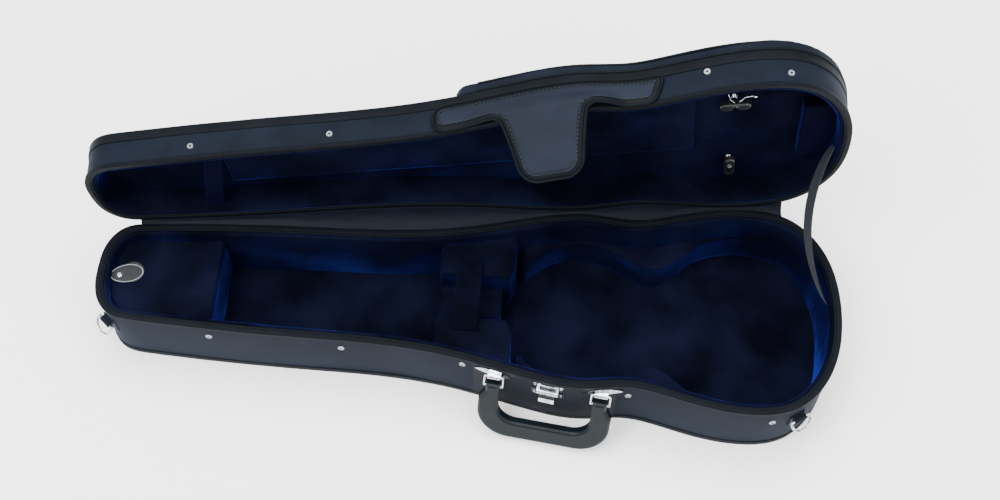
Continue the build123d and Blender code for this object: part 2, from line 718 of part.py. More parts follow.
tongue_face = wall_plane(lid_plane, latch_place - 3, flap_line, recess=0)
droop = radians(flap_droop)
tongue_line = tongue_face.origin + tongue_face.z_dir * tongue_proud
tongue_down = tongue_face.y_dir * -cos(droop) - tongue_face.z_dir * sin(droop)
tongue_plane = Plane(tongue_line, x_dir=tongue_face.x_dir, z_dir=tongue_face.x_dir.cross(-tongue_down))
print(f"tongue pivot {tuple(round(c, 3) for c in tongue_line)} along {tuple(round(c, 5) for c in tongue_face.x_dir)}")
with BuildPart() as flap_tongue:
    with BuildSketch(tongue_plane) as tongue_profile:
        with BuildLine():
            Polyline((-tongue_top / 2, 0), (tongue_top / 2, 0), (tongue_top / 2 - 3, -22),
                     (tongue_tip / 2, -tongue_length), (-tongue_tip / 2, -tongue_length),
                     (-tongue_top / 2 + 6, -22), close=True)
        make_face()
        fillet([v for v in tongue_profile.vertices() if v.Y < 1 - tongue_length], radius=18)
    extrude(amount=flap_thickness)
save(flap_tongue, "flap_tongue")

# ---- Lid hasp under the flap: a plate on the lid with a loop that drops behind the latch's ears ----
with BuildPart() as lid_hasp:
    with BuildSketch(wall_plane(lid_plane, latch_place, 18, recess=12)):
        RectangleRounded(26, 12, 2)
    extrude(amount=24)
    ring(lid_plane, -0.1, cover_recess, 0, lid_height, Mode.INTERSECT)
save(lid_hasp, "lid_hasp")

# ---- Hinge web: the cloth gusset that closes the gap along the waisted back ----
web_thickness = 0.8
with BuildPart() as hinge_web:
    with BuildSketch(Plane.XY.offset(hinge_z - web_thickness / 2)):
        with Locations((0, hinge_y - 13)):
            Rectangle(case_length - 60, 25)
        add((base_plane * outline_at(0)), mode=Mode.SUBTRACT)
    extrude(amount=web_thickness)
save(hinge_web, "hinge_web")

# ---- Lid stay: a webbing strap from lid to base at the wide end, with a rivet at each end ----
stay_width, stay_thickness, stay_bow = 12, 1.4, 23
stay_inner = cavity_recess + stay_thickness
stay_ends = [(base_plane, 17, lining_top - 7), (lid_plane, 19, rim_band_thickness + 7)]
end_points = [plane.from_local_coords(Vector(half_length - cavity_recess - stay_thickness * 1.2, across, up))
              for plane, across, up in stay_ends]
stay_line = (end_points[1] - end_points[0]).normalized()
stay_length = (end_points[1] - end_points[0]).length
stay_side = (base_plane.x_dir + lid_plane.x_dir).normalized().cross(stay_line).normalized()
stay_plane = Plane(end_points[0] - stay_side * (stay_width / 2), x_dir=stay_line, z_dir=stay_side)
inward = 1 if stay_plane.y_dir.X < 0 else -1
with BuildPart() as stay_strap:
    for plane, across, up in stay_ends:
        with BuildSketch(plane.offset(up - stay_width / 2)) as end_tab:
            add(outline_at(cavity_recess))
            add(outline_at(stay_inner), mode=Mode.SUBTRACT)
            with Locations((half_length, across)):
                Rectangle(4 * cavity_recess, stay_width, mode=Mode.INTERSECT)
        extrude(end_tab.sketch, amount=stay_width)
    with BuildSketch(stay_plane):
        with BuildLine():
            middle = (stay_length / 2, inward * stay_bow)
            near = ThreePointArc((0, 0), middle, (stay_length, 0))
            far = ThreePointArc((0, inward * stay_thickness), (middle[0], middle[1] + inward * stay_thickness),
                                (stay_length, inward * stay_thickness))
            Line(near @ 0, far @ 0)
            Line(near @ 1, far @ 1)
        make_face()
    extrude(amount=stay_width)
save(stay_strap, "stay_strap")
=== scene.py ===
import json
import math

import bpy
import bmesh
import numpy as np
from mathutils import Matrix, Vector, noise

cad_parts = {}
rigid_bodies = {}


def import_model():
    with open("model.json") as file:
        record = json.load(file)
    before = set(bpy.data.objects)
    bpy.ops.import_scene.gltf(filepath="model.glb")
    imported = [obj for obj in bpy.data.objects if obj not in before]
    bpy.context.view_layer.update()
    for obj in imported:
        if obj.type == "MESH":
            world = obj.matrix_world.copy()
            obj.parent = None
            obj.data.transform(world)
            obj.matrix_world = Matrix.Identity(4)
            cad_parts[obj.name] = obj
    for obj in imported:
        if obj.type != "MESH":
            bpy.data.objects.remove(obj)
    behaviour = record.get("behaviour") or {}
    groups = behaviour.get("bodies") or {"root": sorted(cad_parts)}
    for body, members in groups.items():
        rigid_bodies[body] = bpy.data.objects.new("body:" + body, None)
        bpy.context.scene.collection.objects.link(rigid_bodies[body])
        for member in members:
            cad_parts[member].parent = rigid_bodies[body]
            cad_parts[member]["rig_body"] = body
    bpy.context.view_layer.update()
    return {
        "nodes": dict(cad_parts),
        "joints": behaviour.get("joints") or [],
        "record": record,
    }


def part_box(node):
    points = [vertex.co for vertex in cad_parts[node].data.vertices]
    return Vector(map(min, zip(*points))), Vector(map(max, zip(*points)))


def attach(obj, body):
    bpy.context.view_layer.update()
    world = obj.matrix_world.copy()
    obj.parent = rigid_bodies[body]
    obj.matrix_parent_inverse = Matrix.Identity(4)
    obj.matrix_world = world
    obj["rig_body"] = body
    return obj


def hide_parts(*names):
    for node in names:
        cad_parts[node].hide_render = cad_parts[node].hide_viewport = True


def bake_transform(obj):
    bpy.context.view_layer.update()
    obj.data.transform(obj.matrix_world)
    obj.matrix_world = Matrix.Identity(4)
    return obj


# ---- Camera, at the photograph's viewing angle ----
yaw, elevation, roll = math.radians(-1.554), math.radians(60.777), math.radians(0.084)
back = Vector((math.sin(yaw) * math.cos(elevation),
               -math.cos(yaw) * math.cos(elevation),
               math.sin(elevation)))
right = Vector((math.cos(yaw), math.sin(yaw), 0))
up = back.cross(right)
right, up = right * math.cos(roll) + up * math.sin(roll), up * math.cos(roll) - right * math.sin(roll)
cam_data = bpy.data.cameras.new("camera")
cam_data.sensor_width, cam_data.lens = 36, 51.2
cam_data.shift_x, cam_data.shift_y = 0.0069, -0.0429
cam_data.clip_end = 50
camera = bpy.data.objects.new("camera", cam_data)
bpy.context.scene.collection.objects.link(camera)
camera.matrix_world = Matrix((
    (right.x, up.x, back.x, 0.0105),
    (right.y, up.y, back.y, -0.6868),
    (right.z, up.z, back.z, 1.5098),
    (0, 0, 0, 1),
))
bpy.context.scene.camera = camera

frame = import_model()
nodes = frame["nodes"]


# ---- Materials ----
def material(name, color, rough=0.8, metal=0.0, sheen=0.0, sheen_tint=(1, 1, 1), sheen_rough=0.3, coat=0.0,
             specular=0.5, mottle_and_painted_sheen=None, brushed=None, bump=()):
    """Colour patches (scale, darker, lighter): random tone on most finishes, painted sheen on the velvets;
    brushed: (scale, least, most) patches of sheen; bump: (kind, scale, strength) in turn."""
    m = bpy.data.materials.new(name)
    m.use_nodes = True
    tree = m.node_tree
    links = tree.links
    shader = tree.nodes["Principled BSDF"]
    shader.inputs["Base Color"].default_value = (*color, 1)
    shader.inputs["Roughness"].default_value = rough
    shader.inputs["Metallic"].default_value = metal
    shader.inputs["Sheen Weight"].default_value = sheen
    shader.inputs["Sheen Tint"].default_value = (*sheen_tint, 1)
    shader.inputs["Sheen Roughness"].default_value = sheen_rough
    shader.inputs["Coat Weight"].default_value = coat
    shader.inputs["Specular IOR Level"].default_value = specular
    coords = tree.nodes.new("ShaderNodeTexCoord")
    if mottle_and_painted_sheen:
        scale, dark, light = mottle_and_painted_sheen
        patches = tree.nodes.new("ShaderNodeTexNoise")
        patches.inputs["Scale"].default_value = scale
        patches.inputs["Detail"].default_value = 5
        links.new(coords.outputs["Object"], patches.inputs["Vector"])
        ramp = tree.nodes.new("ShaderNodeValToRGB")
        ramp.color_ramp.elements[0].position = 0.35
        ramp.color_ramp.elements[1].position = 0.65
        ramp.color_ramp.elements[0].color = (*[c * dark for c in color], 1)
        ramp.color_ramp.elements[1].color = (*[c * light for c in color], 1)
        links.new(patches.outputs["Fac"], ramp.inputs["Fac"])
        links.new(ramp.outputs["Color"], shader.inputs["Base Color"])
    if brushed:
        scale, least, most = brushed
        nap = tree.nodes.new("ShaderNodeTexNoise")
        nap.inputs["Scale"].default_value = scale
        nap.inputs["Detail"].default_value = 3
        links.new(coords.outputs["Object"], nap.inputs["Vector"])
        spread = tree.nodes.new("ShaderNodeMapRange")
        spread.inputs["From Min"].default_value, spread.inputs["From Max"].default_value = 0.44, 0.66
        spread.inputs["To Min"].default_value, spread.inputs["To Max"].default_value = least, most
        links.new(nap.outputs["Fac"], spread.inputs["Value"])
        links.new(spread.outputs["Result"], shader.inputs["Sheen Weight"])
    normal = None
    for kind, scale, strength in bump:
        if kind == "weave":
            height = tree.nodes.new("ShaderNodeMath")
            height.operation = "MAXIMUM"
            for socket, direction in ((0, "X"), (1, "DIAGONAL")):
                bands = tree.nodes.new("ShaderNodeTexWave")
                bands.bands_direction = direction
                bands.inputs["Scale"].default_value = scale
                bands.inputs["Distortion"].default_value = 0.6
                links.new(coords.outputs["Object"], bands.inputs["Vector"])
                links.new(bands.outputs["Fac"], height.inputs[socket])
            source = height.outputs[0]
        elif kind == "ribs":
            bands = tree.nodes.new("ShaderNodeTexWave")
            bands.bands_direction = "X"
            bands.inputs["Scale"].default_value = scale
            links.new(coords.outputs["Object"], bands.inputs["Vector"])
            source = bands.outputs["Fac"]
        else:
            grain = tree.nodes.new("ShaderNodeTexNoise")
            grain.inputs["Scale"].default_value = scale
            grain.inputs["Detail"].default_value = 4
            links.new(coords.outputs["Object"], grain.inputs["Vector"])
            source = grain.outputs["Fac"]
        node = tree.nodes.new("ShaderNodeBump")
        node.inputs["Strength"].default_value = strength
        node.inputs["Distance"].default_value = 0.001
        links.new(source, node.inputs["Height"])
        if normal:
            links.new(normal, node.inputs["Normal"])
        normal = node.outputs["Normal"]
    if normal:
        links.new(normal, shader.inputs["Normal"])
    return m


finish = {
    "canvas": material("canvas", (0.0034, 0.0052, 0.0102), 0.7, specular=0.07, sheen=0.05,
                       sheen_tint=(0.35, 0.6, 1.0),
                       mottle_and_painted_sheen=(25, 0.8, 1.25), bump=(("weave", 500, 0.25), ("grain", 260, 0.3))),
    "panel_cloth": material("panel_cloth", (0.003, 0.0045, 0.0085), 0.6, specular=0.08, sheen=0.045,
                            sheen_tint=(0.4, 0.6, 1),
                            mottle_and_painted_sheen=(18, 0.85, 1.2), bump=(("grain", 400, 0.25),)),
    "binding": material("binding", (0.002, 0.003, 0.0048), 0.55, specular=0.06, sheen=0.03,
                        sheen_tint=(0.4, 0.65, 1.0),
                        mottle_and_painted_sheen=(40, 0.8, 1.2), bump=(("ribs", 260, 0.3), ("grain", 500, 0.2))),
    "shell": material("shell", (0.3, 0.2, 0.12), 0.7, bump=(("grain", 90, 0.3),)),
    # The velvet's strong dark and light colour patches are painted sheen: they paint the nap's blue
    # highlight patches into the colour.
    "velvet": material("velvet", (0.0018, 0.0022, 0.0075), 0.9, specular=0.02, sheen=0.22,
                       sheen_tint=(0.05, 0.1, 1.0),
                       sheen_rough=0.28, mottle_and_painted_sheen=(14, 0.45, 1.7), brushed=(11, 0.1, 0.55),
                       bump=(("grain", 900, 0.5), ("grain", 60, 0.5))),
    # The dark velvet's colour patches are painted sheen as well.
    "dark_velvet": material("dark_velvet", (0.001, 0.001, 0.005), 0.9, specular=0.02, sheen=0.2,
                            sheen_tint=(0.05, 0.08, 0.6),
                            mottle_and_painted_sheen=(14, 0.6, 1.4), bump=(("grain", 900, 0.5),)),
    "grey_leather": material("grey_leather", (0.007, 0.008, 0.01), 0.45, specular=0.25,
                             bump=(("grain", 700, 0.3),)),
    "moulded_grip": material("moulded_grip", (0.003, 0.0055, 0.0075), 0.4, specular=0.14,
                             mottle_and_painted_sheen=(60, 0.85, 1.15), bump=(("grain", 600, 0.15),)),
    "chrome": material("chrome", (0.6, 0.62, 0.66), 0.12, metal=1.0, mottle_and_painted_sheen=(220, 0.55, 1.15),
                       bump=(("grain", 90, 0.05),)),
    "black_plastic": material("black_plastic", (0.008, 0.008, 0.009), 0.3, bump=(("grain", 500, 0.1),)),
    "webbing": material("webbing", (0.012, 0.015, 0.02), 0.7, specular=0.15, sheen=0.12,
                        bump=(("weave", 700, 0.5),)),
    "zip_tape": material("zip_tape", (0.01, 0.01, 0.012), 0.6, specular=0.2, bump=(("ribs", 900, 0.6),)),
    "flap_panel": material("flap_panel", (0.0062, 0.0085, 0.0155), 0.65, specular=0.09, sheen=0.06,
                           sheen_tint=(0.45, 0.6, 1), mottle_and_painted_sheen=(18, 0.85, 1.2), bump=(("grain", 400, 0.25),)),
    "binding_dark": material("binding_dark", (0.0017, 0.0029, 0.0042), 0.55, specular=0.06,
                             bump=(("grain", 500, 0.2),)),
    "stud_metal": material("stud_metal", (0.3, 0.31, 0.34), 0.28, metal=1.0, bump=(("grain", 90, 0.05),)),
    "thread": material("thread", (0.016, 0.02, 0.026), 0.6, specular=0.1, bump=(("grain", 900, 0.2),)),
    "pale_edge": material("pale_edge", (0.2, 0.22, 0.23), 0.5, bump=(("grain", 400, 0.2),)),
}
slots = {s["node"]: s["material_slot"] for s in frame["record"]["subparts"]}


def dress(obj, name):
    obj.data.materials.clear()
    obj.data.materials.append(finish[name])
    return obj


for name, obj in nodes.items():
    dress(obj, slots[name])
    obj.data.polygons.foreach_set("use_smooth", [True] * len(obj.data.polygons))
    obj.data.set_sharp_from_angle(angle=math.radians(35))

# ---- The case's outline, the same closed curve as the frame's, in millimetres ----
length, narrow_half, lower_half, tilt = 825, 60, 124, math.radians(5.377)
base_height, hinge_y, rim_z = 94, 96.123, 94.3
half = length / 2


def quarter(centre, reach, width, squareness, steps):
    out = []
    for i in range(steps + 1):
        a = math.radians(90 * i / steps)
        out.append((centre + reach * max(math.cos(a), 0) ** (2 / squareness),
                    -width * math.sin(a) ** (2 / squareness)))
    return out


stations = [(596, 68), (469, 73), (403, 83.5), (340, 98.5), (277, 106), (228, 102), (186, 110)]
front = (quarter(50 - half, -50, narrow_half, 2.5, 3) + [(half - b, -w) for b, w in stations]
         + quarter(half - 95, 95, lower_half, 2.2, 4)[::-1])
loop = np.array(front + [(u, -v) for u, v in front[-2:0:-1]], float)


def closed_spline(points, count):
    """Evenly spaced points of a smooth closed curve through the given ones."""
    n = len(points)
    step = np.linalg.norm(np.roll(points, -1, 0) - points, axis=1)
    knots = np.concatenate([[0], np.cumsum(step)])
    a = np.zeros((n, n))
    b = np.zeros((n, 2))
    for i in range(n):
        before, after = step[i - 1], step[i]
        a[i, i - 1] += before
        a[i, i] += 2 * (before + after)
        a[i, (i + 1) % n] += after
        b[i] = 6 * ((points[(i + 1) % n] - points[i]) / after - (points[i] - points[i - 1]) / before)
    curve = np.linalg.solve(a, b)

    def at(s):
        i = np.clip(np.searchsorted(knots, s, side="right") - 1, 0, n - 1)
        h, t = step[i], s - knots[i]
        j = (i + 1) % n
        w = (h - t)[:, None], t[:, None]
        h = h[:, None]
        return (curve[i] * w[0] ** 3 / (6 * h) + curve[j] * w[1] ** 3 / (6 * h)
                + (points[i] / h - curve[i] * h / 6) * w[0] + (points[j] / h - curve[j] * h / 6) * w[1])

    fine = at(np.linspace(0, knots[-1], 8000, endpoint=False))
    run = np.concatenate([[0], np.cumsum(np.linalg.norm(np.roll(fine, -1, 0) - fine, axis=1))])
    want = np.linspace(0, run[-1], count, endpoint=False)
    place = np.interp(want, run, np.linspace(0, knots[-1], len(run)))
    return at(place % knots[-1])


RING = 480
edge = closed_spline(loop, RING)
along = np.roll(edge, -1, 0) - np.roll(edge, 1, 0)
along /= np.linalg.norm(along, axis=1)[:, None]
outward = np.stack([along[:, 1], -along[:, 0]], 1)

cos_t, sin_t = math.cos(tilt), math.sin(tilt)


def base_point(u, v, w):
    """Case coordinates in millimetres to the row frame in metres, for the base."""
    return Vector((u * cos_t + v * sin_t, -u * sin_t + v * cos_t, w)) * 0.001


def lid_point(u, v, w):
    """The same for the open lid, where w is the depth from the rim towards the lid's top."""
    x, y = u * cos_t + v * sin_t, -u * sin_t + v * cos_t
    return Vector((x, hinge_y + 0.3 + w, rim_z + hinge_y - y)) * 0.001


def front_at(u):
    """Index, as a fraction, of the front wall's point at a place along the case."""
    us = edge[:RING // 2 + 1, 0]
    return float(np.interp(u, us, np.arange(len(us))))


def ring_at(i, recess):
    i0 = int(math.floor(i)) % RING
    f = i - math.floor(i)
    p = edge[i0] * (1 - f) + edge[(i0 + 1) % RING] * f
    n = outward[i0] * (1 - f) + outward[(i0 + 1) % RING] * f
    return p - n * recess


def mesh_object(name, points, faces, smooth=True):
    data = bpy.data.meshes.new(name)
    data.from_pydata([tuple(p) for p in points], [], faces)
    data.update()
    obj = bpy.data.objects.new(name, data)
    bpy.context.scene.collection.objects.link(obj)
    if smooth:
        data.polygons.foreach_set("use_smooth", [True] * len(data.polygons))
    return obj


def fix_normals(obj):
    work = bmesh.new()
    work.from_mesh(obj.data)
    bmesh.ops.recalc_face_normals(work, faces=work.faces)
    work.to_mesh(obj.data)
    work.free()
    return obj


def swept_ring(name, place, profile, wobble=0.0, wavelength=60.0, body="base", finish_name="binding"):
    """A closed band around the outline; profile is a closed loop of (recess, height) in millimetres."""
    points, faces = [], []
    count = len(profile)
    for i in range(RING):
        for recess, height in profile:
            shift = 0.0
            if wobble:
                q = edge[i]
                shift = wobble * noise.noise(Vector((q[0] / wavelength, q[1] / wavelength, height / 30)))
            p = edge[i] - outward[i] * (recess + shift)
            points.append(place(p[0], p[1], height))
    for i in range(RING):
        j = (i + 1) % RING
        for k in range(count):
            m = (k + 1) % count
            faces.append((i * count + k, i * count + m, j * count + m, j * count + k))
    obj = fix_normals(mesh_object(name, points, faces))
    obj.data.set_sharp_from_angle(angle=math.radians(50))
    dress(obj, finish_name)
    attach(obj, body)
    return obj


def rounded_box(left, right_, low, high, radius, steps=4):
    """A closed profile with rounded corners, as (recess, height) points."""
    radius = min(radius, (right_ - left) / 2 - 0.01, (high - low) / 2 - 0.01)
    out = []
    for cx, cy, start in ((right_ - radius, high - radius, 0), (left + radius, high - radius, 90),
                          (left + radius, low + radius, 180), (right_ - radius, low + radius, 270)):
        for k in range(steps + 1):
            a = math.radians(start + 90 * k / steps)
            out.append((cx + radius * math.cos(a), cy + radius * math.sin(a)))
    return out


# ---- Bindings, canvas walls and padded linings ----
for prefix, place, body in (("base", base_point, "base"), ("lid", lid_point, "lid")):
    rim = base_height if prefix == "base" else 0
    inside = -1 if prefix == "base" else 1

    def level(depth, rim=rim, inside=inside):
        """Height of a place that lies this deep below the rim."""
        return rim + inside * depth

    def band(name, left, right_, shallow, deep, radius, replaced, finish_name, wobble=0.0, wavelength=60.0,
             place=place, body=body):
        low, high = sorted((level(shallow), level(deep)))
        obj = swept_ring(name, place, rounded_box(left, right_, low, high, radius), wobble, wavelength,
                         body, finish_name)
        if replaced:
            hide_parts(*replaced)
        return obj

    band(f"{prefix}_rim_tape", 0.0, 6.6, 0.0, 2.6, 1.25, [f"{prefix}_rim_binding"], "binding",
         0.25, 35)
    band(f"{prefix}_rim_skirt", 0.1, 2.9, 1.6, 5.0, 1.2, [], "binding", 0.25, 35)
    band(f"{prefix}_rim_seam", 5.9, 8.4, 1.2, 2.8, 0.7, [], "binding_dark", 0.2, 35)

base_wall = swept_ring("base_wall", base_point, rounded_box(1.5, 3.0, 7.5, 90.5, 0.6), 0.5, 90, "base",
                       "canvas")
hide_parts("base_cover")
lid_wall = swept_ring("lid_wall", lid_point, rounded_box(1.5, 3.0, 3.5, 33, 0.6), 0.5, 90, "lid", "canvas")
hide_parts("lid_cover")
foot = swept_ring("base_bottom_tape", base_point, rounded_box(0.5, 3.0, 0.0, 9.2, 1.1), 0.2, 40, "base",
                  "binding")
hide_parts("base_bottom_binding")
top_side = swept_ring("lid_top_tape", lid_point, rounded_box(0.4, 3.0, 31.3, 43.0, 1.2), 0.2, 40, "lid",
                      "binding")
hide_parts("lid_top_binding")
swept_ring("lid_top_lip", lid_point, rounded_box(0.6, 10.4, 41.6, 43.2, 0.75), 0.2, 40, "lid", "binding")

padding = rounded_box(6.3, 13.2, 4.0, 92.2, 3.4)
base_padding = swept_ring("base_padding", base_point, padding, 1.0, 45, "base", "velvet")
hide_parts("base_lining")
lid_padding = swept_ring("lid_padding", lid_point, rounded_box(6.3, 13.2, 1.8, 35.5, 3.4), 1.0, 45,
                         "lid", "velvet")
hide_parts("lid_lining")


# ---- Velvet-covered foam: the frame's own blocks, rounded off and softened ----
def soften(node, name, voxel, rounds, swell, finish_name="velvet", wavelength=0.04, turned=0):
    source = nodes[node]
    obj = bpy.data.objects.new(name, source.data.copy())
    bpy.context.scene.collection.objects.link(obj)
    obj.data.transform(source.matrix_world)
    middle = sum((v.co for v in obj.data.vertices), Vector()) / len(obj.data.vertices)
    obj.data.transform(Matrix.Translation(middle) @ Matrix.Rotation(math.radians(turned), 4, "Y")
                       @ Matrix.Translation(-middle))
    remesh = obj.modifiers.new("remesh", "REMESH")
    remesh.mode, remesh.voxel_size = "VOXEL", voxel
    remesh.use_smooth_shade = True
    smooth = obj.modifiers.new("smooth", "SMOOTH")
    smooth.factor, smooth.iterations = 0.5, rounds
    graph = bpy.context.evaluated_depsgraph_get()
    data = bpy.data.meshes.new_from_object(obj.evaluated_get(graph))
    obj.modifiers.clear()
    obj.data = data
    if swell:
        co = np.zeros(len(data.vertices) * 3)
        data.vertices.foreach_get("co", co)
        co = co.reshape(-1, 3)
        normals = np.zeros(len(data.vertices) * 3)
        data.vertices.foreach_get("normal", normals)
        normals = normals.reshape(-1, 3)
        push = np.array([noise.noise(Vector(p) / wavelength) for p in co]) * swell
        data.vertices.foreach_set("co", (co + normals * push[:, None]).ravel())
        data.update()
    data.polygons.foreach_set("use_smooth", [True] * len(data.polygons))
    dress(obj, finish_name)
    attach(obj, source["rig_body"])
    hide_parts(node)
    return obj


coarse = 0.0018
for node, rounds, swell, kind in (
        ("violin_bed", 5, 0.0008, "velvet"), ("neck_block_front", 6, 0.0008, "velvet"),
        ("neck_block_back", 6, 0.0008, "velvet"), ("neck_saddle", 5, 0.0006, "velvet"),
        ("accessory_divider", 2, 0.0004, "velvet"), ("accessory_lid", 3, 0.0006, "velvet"),
        ("lid_cushion", 5, 0.001, "velvet"), ("lid_end_block", 5, 0.0008, "dark_velvet")):
    soften(node, f"{node}_cloth", coarse, rounds, swell, kind)

# ---- Music pocket: a padded cloth box with piping, a zip and soft edges ----
soften("music_pocket", "music_pocket_cloth", 0.0026, 6, 0.0012, "canvas", 0.07)


def tube(name, points, radius, finish_name, body, closed=False, squash=1.0, sides=8, flat_dir=None):
    """A round or flattened cord of mesh along a line of points, in metres."""
    points = [Vector(p) for p in points]
    verts, faces = [], []
    count = len(points)
    for i, p in enumerate(points):
        before = points[i - 1] if (i or closed) else p
        after = points[(i + 1) % count] if (i < count - 1 or closed) else p
        way = (after - before).normalized()
        side = way.cross(flat_dir or Vector((0, 1, 0.3))).normalized()
        other = side.cross(way).normalized()
        for k in range(sides):
            a = 2 * math.pi * k / sides
            verts.append(p + side * radius * math.cos(a) + other * radius * squash * math.sin(a))
    for i in range(count if closed else count - 1):
        j = (i + 1) % count
        for k in range(sides):
            m = (k + 1) % sides
            faces.append((i * sides + k, i * sides + m, j * sides + m, j * sides + k))
    if not closed:
        faces.append(tuple(range(sides))[::-1])
        faces.append(tuple(range((count - 1) * sides, count * sides)))
    obj = fix_normals(mesh_object(name, verts, faces))
    dress(obj, finish_name)
    if body:
        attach(obj, body)
    return obj


pocket_line = []
for i in range(int(front_at(26)), RING - int(front_at(26)) + 1):
    q = ring_at(i, 0.8)
    pocket_line.append(lid_point(q[0], q[1], 44.0))
tube("pocket_piping", pocket_line, 0.0016, "binding_dark", "lid")
pocket_edge = [p + Vector((0, 0.0096, 0)) + (Vector((0, p.y, 0.19)) - p) * 0.012 for p in pocket_line]
tube("pocket_edge_tape", pocket_edge, 0.0022, "binding_dark", "lid", squash=0.8)

# ---- T-shaped flap: one padded piece, sewn to the lid above and hanging free below ----
flap_u = 92.5
centre_index = front_at(flap_u)
ring_step = float(np.linalg.norm(edge[1] - edge[0]))
pivot = Vector(next(j for j in frame["joints"] if j["name"] == "flap_swing")["pos_m"]) * 1000
tongue_x = Vector(next(j for j in frame["joints"] if j["name"] == "flap_swing")["axis"]).normalized()
tongue_out = tongue_x.cross(Vector((0, 1, 0))).normalized()
if tongue_out.z < 0:
    tongue_out = -tongue_out
droop = math.radians(28)
tongue_down = Vector((0, -1, 0)) * math.cos(droop) - tongue_out * math.sin(droop)
tongue_face = tongue_out * math.cos(droop) - Vector((0, 1, 0)) * math.sin(droop)


def flap_frame(x, t):
    """Place and outward direction of the flap's inner face: x along the wall, t down from the rim, in mm."""
    q = ring_at(centre_index + x / ring_step, -0.6)
    n = ring_at(centre_index + x / ring_step, -1.6) - q
    wall_out = (lid_point(q[0] + n[0], q[1] + n[1], 0) - lid_point(q[0], q[1], 0)).normalized()
    wall = lid_point(q[0], q[1], max(-t, -40)) * 1000
    hang = pivot + tongue_x * x + tongue_down * (t + 12) + tongue_face * 0.4
    f = min(max((t + 19) / 17, 0), 1)
    near = min(max((86 - abs(x)) / 34, 0), 1)
    f = f * f * (3 - 2 * f) * near * near * (3 - 2 * near)
    return wall * (1 - f) + hang * f, (wall_out * (1 - f) + tongue_face * f).normalized()


bar_left, bar_right, bar_top, bar_low = -118.5, 126.0, -32, -1.0
waist, flare, tip_half, tip_at, tip_round = 44.0, 9.0, 31.0, 70.0, 17.0


def tongue_half(t):
    if t < bar_low + flare:
        return waist + flare - math.sqrt(max(flare ** 2 - (flare - (t - bar_low)) ** 2, 0))
    f = (t - bar_low - flare) / (tip_at - bar_low - flare)
    side = waist + (tip_half - waist) * (f ** 0.8)
    if t > tip_at - tip_round:
        side -= tip_round - math.sqrt(max(tip_round ** 2 - (t - tip_at + tip_round) ** 2, 0))
    return side


def bar_end(t, sign):
    """How far the crossbar reaches: rounded at the left, squarer and a little slanted at the right."""
    middle, r = (bar_top + bar_low) / 2, (bar_low - bar_top) / 2
    round_off = 15 if sign < 0 else 9
    reach = math.sqrt(max(1 - (abs(t - middle) / r) ** (3.2 if sign < 0 else 5), 0))
    end = (-bar_left if sign < 0 else bar_right) - round_off * (1 - reach)
    return end - (12 * (t - bar_top) / (bar_low - bar_top) if sign > 0 else 0)


bar_rows = [bar_top + (bar_low - bar_top) * (0.5 - 0.5 * math.cos(math.pi * i / 16)) for i in range(17)]
tongue_rows = [bar_low + (tip_at - bar_low) * math.sin(math.pi / 2 * i / 40) for i in range(1, 41)]
wing, core = 26, 30
flap_flat, flap_index = [], {}
for r, t in enumerate(bar_rows + tongue_rows):
    core_half = waist + flare if r < len(bar_rows) else tongue_half(t)
    for c in range(2 * wing + core + 1):
        if c < wing:
            if r >= len(bar_rows):
                continue
            x = -bar_end(t, -1) + (bar_end(t, -1) - core_half) * c / wing
        elif c <= wing + core:
            x = -core_half + 2 * core_half * (c - wing) / core
        else:
            if r >= len(bar_rows):
                continue
            x = core_half + (bar_end(t, 1) - core_half) * (c - wing - core) / wing
        flap_index[r, c] = len(flap_flat)
        flap_flat.append((x, t))

rim_loop = ([(0, c) for c in range(2 * wing + core + 1)]
            + [(r, 2 * wing + core) for r in range(1, len(bar_rows))]
            + [(len(bar_rows) - 1, c) for c in range(2 * wing + core - 1, wing + core, -1)]
            + [(r, wing + core) for r in range(len(bar_rows) - 1, len(bar_rows) + len(tongue_rows))]
            + [(len(bar_rows) + len(tongue_rows) - 1, c) for c in range(wing + core - 1, wing - 1, -1)]
            + [(r, wing) for r in range(len(bar_rows) + len(tongue_rows) - 2, len(bar_rows) - 2, -1)]
            + [(len(bar_rows) - 1, c) for c in range(wing - 1, -1, -1)]
            + [(r, 0) for r in range(len(bar_rows) - 2, 0, -1)])
rim_flat = np.array([flap_flat[flap_index[k]] for k in rim_loop])
flap_flat = np.array(flap_flat)
to_rim = np.min(np.linalg.norm(flap_flat[:, None] - rim_flat[None], axis=2), axis=1)
flap_verts, flap_faces, tape = [], [], 7.5
for layer in (0, 1):
    for (x, t), d in zip(flap_flat, to_rim):
        place, out = flap_frame(x, t)
        crown = 2.6 * (1 - math.exp(-d / 3.0)) - 0.8 * math.exp(-((d - tape) / 0.9) ** 2)
        crown += 0.5 * noise.noise(Vector((x / 28, t / 28, 1.7))) * min(d / 8, 1)
        flap_verts.append((place + out * (0.2 if layer == 0 else 0.6 + crown)) * 0.001)
size = len(flap_flat)
for (r, c), a in flap_index.items():
    quad = [flap_index.get(k) for k in ((r, c), (r, c + 1), (r + 1, c + 1), (r + 1, c))]
    if None in quad:
        continue
    flap_faces.append(tuple(quad))
    flap_faces.append(tuple(size + k for k in quad[::-1]))
ring_ids = [flap_index[k] for k in rim_loop]
for a, b in zip(ring_ids, ring_ids[1:] + ring_ids[:1]):
    if a != b:
        flap_faces.append((a, b, b + size, a + size))
flap_cloth = fix_normals(mesh_object("flap_cloth", flap_verts, flap_faces))
dress(flap_cloth, "flap_panel")
flap_cloth.data.materials.append(finish["binding_dark"])
edge_of = np.concatenate([to_rim, to_rim])
for face in flap_cloth.data.polygons:
    face.material_index = int(np.mean([edge_of[v] for v in face.vertices]) < tape)
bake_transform(flap_cloth)
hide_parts("flap_tongue", "flap_crossbar")

